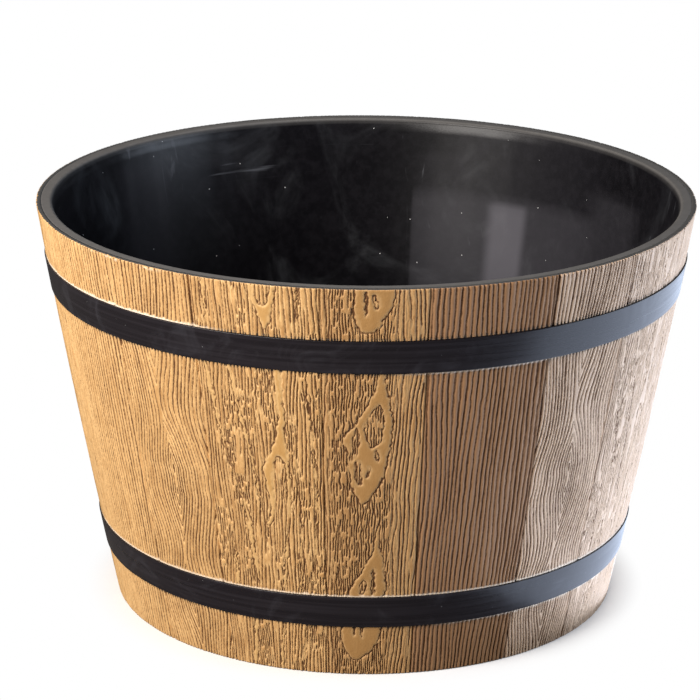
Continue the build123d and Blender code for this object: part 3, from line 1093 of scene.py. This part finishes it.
def makeStopper():
    profile = stopperProfile()
    columns = stopper["columns"]
    body = profile[1:-1]
    radius, height, angle = turnedGrid(body, columns)
    points = list(ringPoint(angle, radius, height).reshape(-1, 3))
    faces = list(gridFaces(len(body), columns, loopColumns=True))
    faces.append(np.arange(columns)[::-1])
    faces.append(np.arange(columns) + (len(body) - 1) * columns)
    outline, outward = gripOutline()
    headTop, gripTop = stopper["headTop"], stopper["gripTop"]
    levels = [(headTop - 1.5 * mm, 0.0), (headTop, 0.0), (headTop + 3 * mm, 0.0),
              (gripTop - 1.2 * mm, 0.0), (gripTop - 0.5 * mm, 0.18 * mm),
              (gripTop - 0.12 * mm, 0.55 * mm), (gripTop, 1.2 * mm)]
    first = len(points)
    for z, inset in levels:
        points += [np.array([x, y, z]) for x, y in outline - outward * inset]
    size = len(outline)
    faces += list(gridFaces(len(levels), size, loopColumns=True) + first)
    faces.append((np.arange(size) + first)[::-1])
    faces.append(np.arange(size) + first + (len(levels) - 1) * size)
    piece = newPiece("drain_stopper_rubber", np.array(points), faces, stopperRubber)
    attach(piece, "stopper")
    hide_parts("drain_stopper")
    return piece


stopperPiece = makeStopper()
print("stopper:", len(stopperPiece.data.polygons), "faces")


# Studio: a pale floor, soft lamps and a white background

studio = {
    "floorSize": 14.0,
    "floorColour": (0.86, 0.86, 0.86, 1),
    "bounceColour": (0.13, 0.125, 0.12, 1),  # how the floor lights the pot
    "whiteStart": 0.185,      # from the pot's axis, the floor fades to the white background
    "whiteEnd": 0.225,
    "worldColour": (0.9, 0.93, 1.0, 1),
    "worldStrength": 0.04,
    # azimuth, elevation, distance, width, height, watts, colour
    "lamps": {
        "warmLamp": (-45, 31, 2.2, 1.2, 1.2, 84, (1.0, 0.95, 0.90)),
        "coolLamp": (86, 13, 2.0, 1.2, 1.1, 31.5, (0.74, 0.84, 1.0)),
    },
    # A sheet of light on the floor, facing up: place, turn, width, depth, watts, colour
    "glow": ((0.765, 0.14), 80, 1.1, 1.06, 10.5, (0.68, 0.79, 1.0)),
    "lampAim": Vector((0, 0, 0.16)),
}


def makeFloor():
    material, tree = newMaterial("paleFloor")
    position = put(tree, "ShaderNodeTexCoord").outputs["Object"]
    far = put(tree, "ShaderNodeVectorMath", {0: position}, operation="LENGTH").outputs["Value"]
    paper = blendColours(tree, remap(tree, noiseNode(tree, position, 60.0, 3.0), 0.3, 0.7, 0.0, 0.04),
                         studio["floorColour"], (0.6, 0.6, 0.6, 1))
    path = put(tree, "ShaderNodeLightPath").outputs
    paper = blendColours(tree, path["Is Camera Ray"], studio["bounceColour"], paper)
    matt = put(tree, "ShaderNodeBsdfDiffuse", {"Color": paper}).outputs[0]
    white = put(tree, "ShaderNodeEmission", {"Color": (1, 1, 1, 1), "Strength": 1.0}).outputs[0]
    seen = times(tree, path["Is Camera Ray"],
                     remap(tree, far, studio["whiteStart"], studio["whiteEnd"]))
    lit = put(tree, "ShaderNodeMixShader", {0: seen, 1: matt, 2: white}).outputs[0]
    below = put(tree, "ShaderNodeNewGeometry").outputs["Backfacing"]
    clear = put(tree, "ShaderNodeBsdfTransparent").outputs[0]
    shown = put(tree, "ShaderNodeMixShader", {0: below, 1: lit, 2: clear}).outputs[0]
    put(tree, "ShaderNodeOutputMaterial", {"Surface": shown})
    half = studio["floorSize"] / 2
    corners = [(-half, -half, 0), (half, -half, 0), (half, half, 0), (-half, half, 0)]
    floor = newPiece("floor", corners, np.array([[0, 1, 2, 3]]), material, smooth=False)


def areaLamp(name, width, height, watts, colour):
    light = bpy.data.lights.new(name, "AREA")
    light.shape = "RECTANGLE"
    light.size, light.size_y = width, height
    light.energy, light.color = watts, colour
    return place(name, light)


def makeLamps():
    for name, (azimuth, elevation, distance, width, height, watts, colour) in studio["lamps"].items():
        lamp = areaLamp(name, width, height, watts, colour)
        turn, lift = math.radians(azimuth), math.radians(elevation)
        away = Vector((math.sin(turn) * math.cos(lift), -math.cos(turn) * math.cos(lift), math.sin(lift)))
        lamp.location = studio["lampAim"] + away * distance
        lamp.rotation_mode = "QUATERNION"
        lamp.rotation_quaternion = away.to_track_quat("Z", "Y")


def makeGlow():
    (x, y), turn, width, depth, watts, colour = studio["glow"]
    glow = areaLamp("glow", depth, width, watts, colour)
    glow.location = (x, y, 4 * mm)
    glow.rotation_euler = (math.pi, 0, math.radians(turn - 90))
    glow.visible_camera = False


def makeWorld():
    world = bpy.data.worlds.new("studioWorld")
    bpy.context.scene.world = world
    world.use_nodes = True
    tree = world.node_tree
    tree.nodes.clear()
    seen = put(tree, "ShaderNodeLightPath").outputs["Is Camera Ray"]
    inputs = {"Color": studio["worldColour"], "Strength": studio["worldStrength"]}
    room = put(tree, "ShaderNodeBackground", inputs).outputs[0]
    white = put(tree, "ShaderNodeBackground", {"Color": (1, 1, 1, 1), "Strength": 1.0}).outputs[0]
    mixed = put(tree, "ShaderNodeMixShader", {0: seen, 1: room, 2: white}).outputs[0]
    put(tree, "ShaderNodeOutputWorld", {"Surface": mixed})


# Camera: long lens, a little above the rim, turned so that the pot sits low in the square frame

camera = {
    "aim": Vector((0, 0, 127 * mm)),
    "distance": 2.4078,
    "elevation": 19.596,
    "lens": 156.45,
    "sensor": 36.0,
    "roll": 0.4267,
    "aimRight": 14.57,    # pixels from the middle of a 700 pixel frame to where the aim point shows
    "aimDown": 74.86,
    "frame": 700,
}


def makeCamera():
    data = bpy.data.cameras.new("camera")
    data.sensor_width, data.lens = camera["sensor"], camera["lens"]
    data.clip_start, data.clip_end = 0.05, 60
    eye = place("camera", data)
    lift = math.radians(camera["elevation"])
    back = Vector((0, -math.cos(lift), math.sin(lift)))
    eye.location = camera["aim"] + back * camera["distance"]
    pixels = camera["lens"] / data.sensor_width * camera["frame"]
    towards = Vector((camera["aimRight"], -camera["aimDown"], -pixels)).normalized()
    turned = towards.rotation_difference(Vector((0, 0, -1)))
    level = back.to_track_quat("Z", "Y")
    rolled = Quaternion((0, 0, 1), math.radians(camera["roll"]))
    eye.rotation_mode = "QUATERNION"
    eye.rotation_quaternion = level @ rolled @ turned
    bpy.context.scene.camera = eye


makeFloor()
makeLamps()
makeGlow()
makeWorld()
makeCamera()
bpy.context.scene.view_settings.view_transform = "Standard"
print("studio: made")
